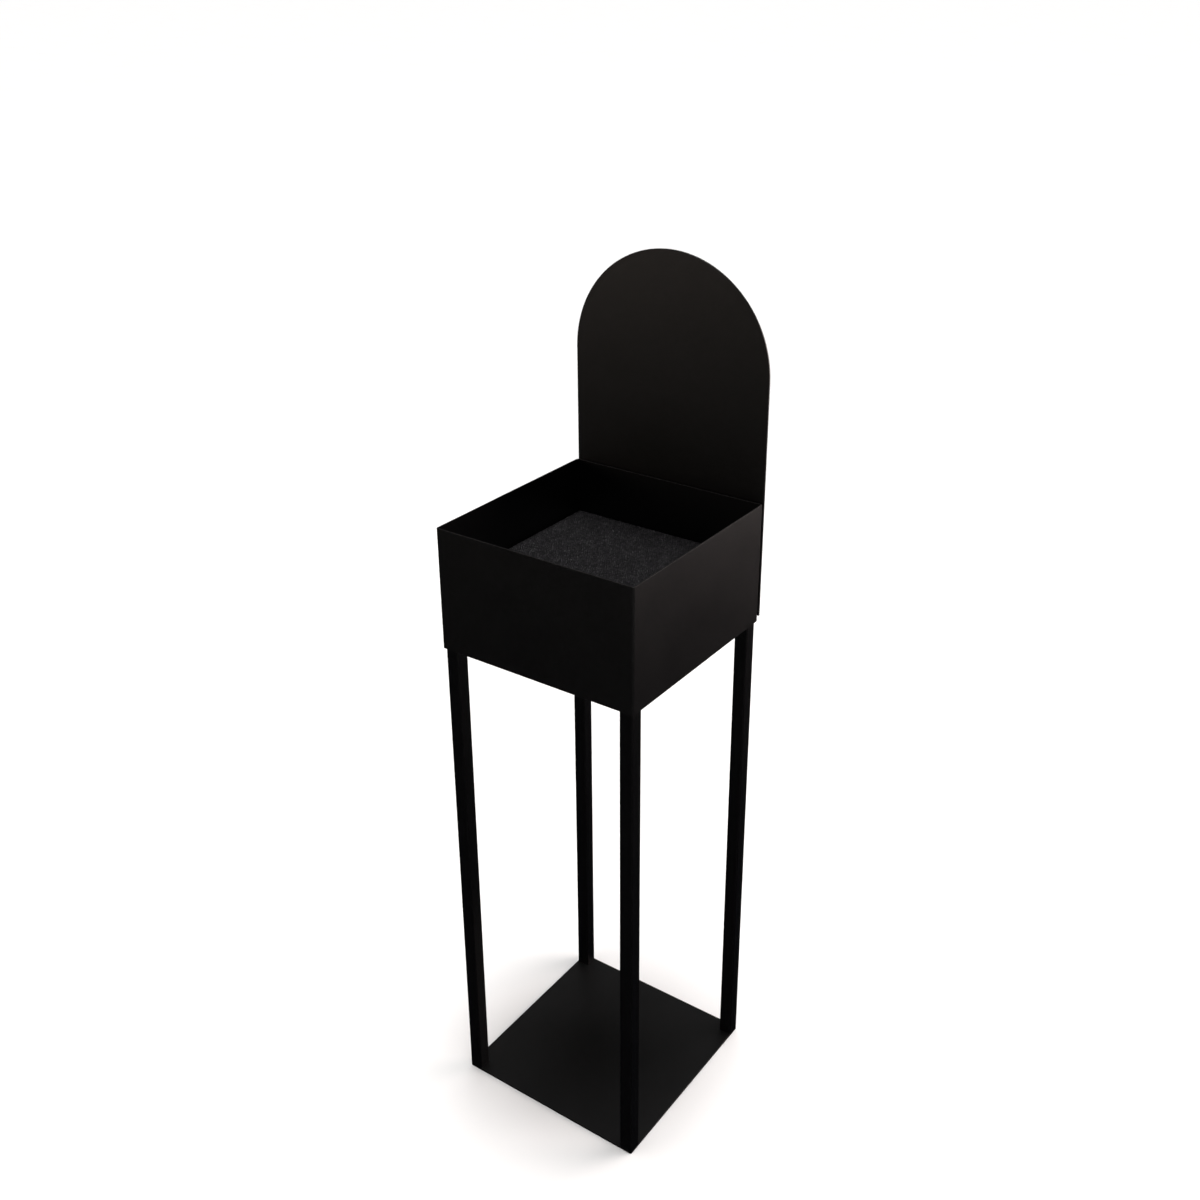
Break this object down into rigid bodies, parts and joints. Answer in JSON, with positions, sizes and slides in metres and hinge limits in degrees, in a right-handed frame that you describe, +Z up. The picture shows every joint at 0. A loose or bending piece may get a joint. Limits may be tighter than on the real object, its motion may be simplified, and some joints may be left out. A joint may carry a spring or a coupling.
{
  "type": "ashtray bin",
  "caption": "Free-standing ashtray: a square sheet-metal box on tube legs, with a loose gritty stub-out tray and an arched back panel that lifts out of pockets.",
  "frame": {"origin": "middle of the base plate's underside, on the ground", "axes": "+Z up; +Y from the open front towards the back panel; +X to the right, seen from the front"},
  "size_m": [0.306, 0.3136, 1.23],
  "materials": {
    "stand_coat": "matt black powder coat",
    "box_coat": "matt black powder coat",
    "panel_coat": "matt black powder coat",
    "tray_coat": "matt black powder coat",
    "grit": "black mineral grit bonded to the tray",
    "zinc_steel": "zinc-plated steel"
  },
  "bodies": {
    "stand": {"base_plate": "stand_coat", "leg_front_left": "stand_coat", "leg_front_right": "stand_coat", "leg_rear_left": "stand_coat", "leg_rear_right": "stand_coat", "rail_front": "stand_coat", "rail_rear": "stand_coat", "rail_left": "stand_coat", "rail_right": "stand_coat", "foot_plugs": "zinc_steel", "base_screws": "zinc_steel", "box_walls": "box_coat", "box_floor": "box_coat", "floor_studs": "zinc_steel", "floor_washers": "zinc_steel", "floor_nuts": "zinc_steel", "panel_bracket_left": "box_coat", "panel_bracket_right": "box_coat", "bracket_screws": "zinc_steel", "bracket_washers": "zinc_steel", "bracket_nuts": "zinc_steel"},
    "panel": {"back_panel": "panel_coat"},
    "tray": {"stub_tray": "tray_coat", "stub_pad": "grit"}
  },
  "joints": [
    {"name": "panel_lift", "type": "slide", "parent": "stand", "child": "panel", "axis": [0, 0, 1], "range_m": [0, 0.23]},
    {"name": "tray_lift", "type": "slide", "parent": "stand", "child": "tray", "axis": [0, 0, 1], "range_m": [0, 0.26]}
  ]
}
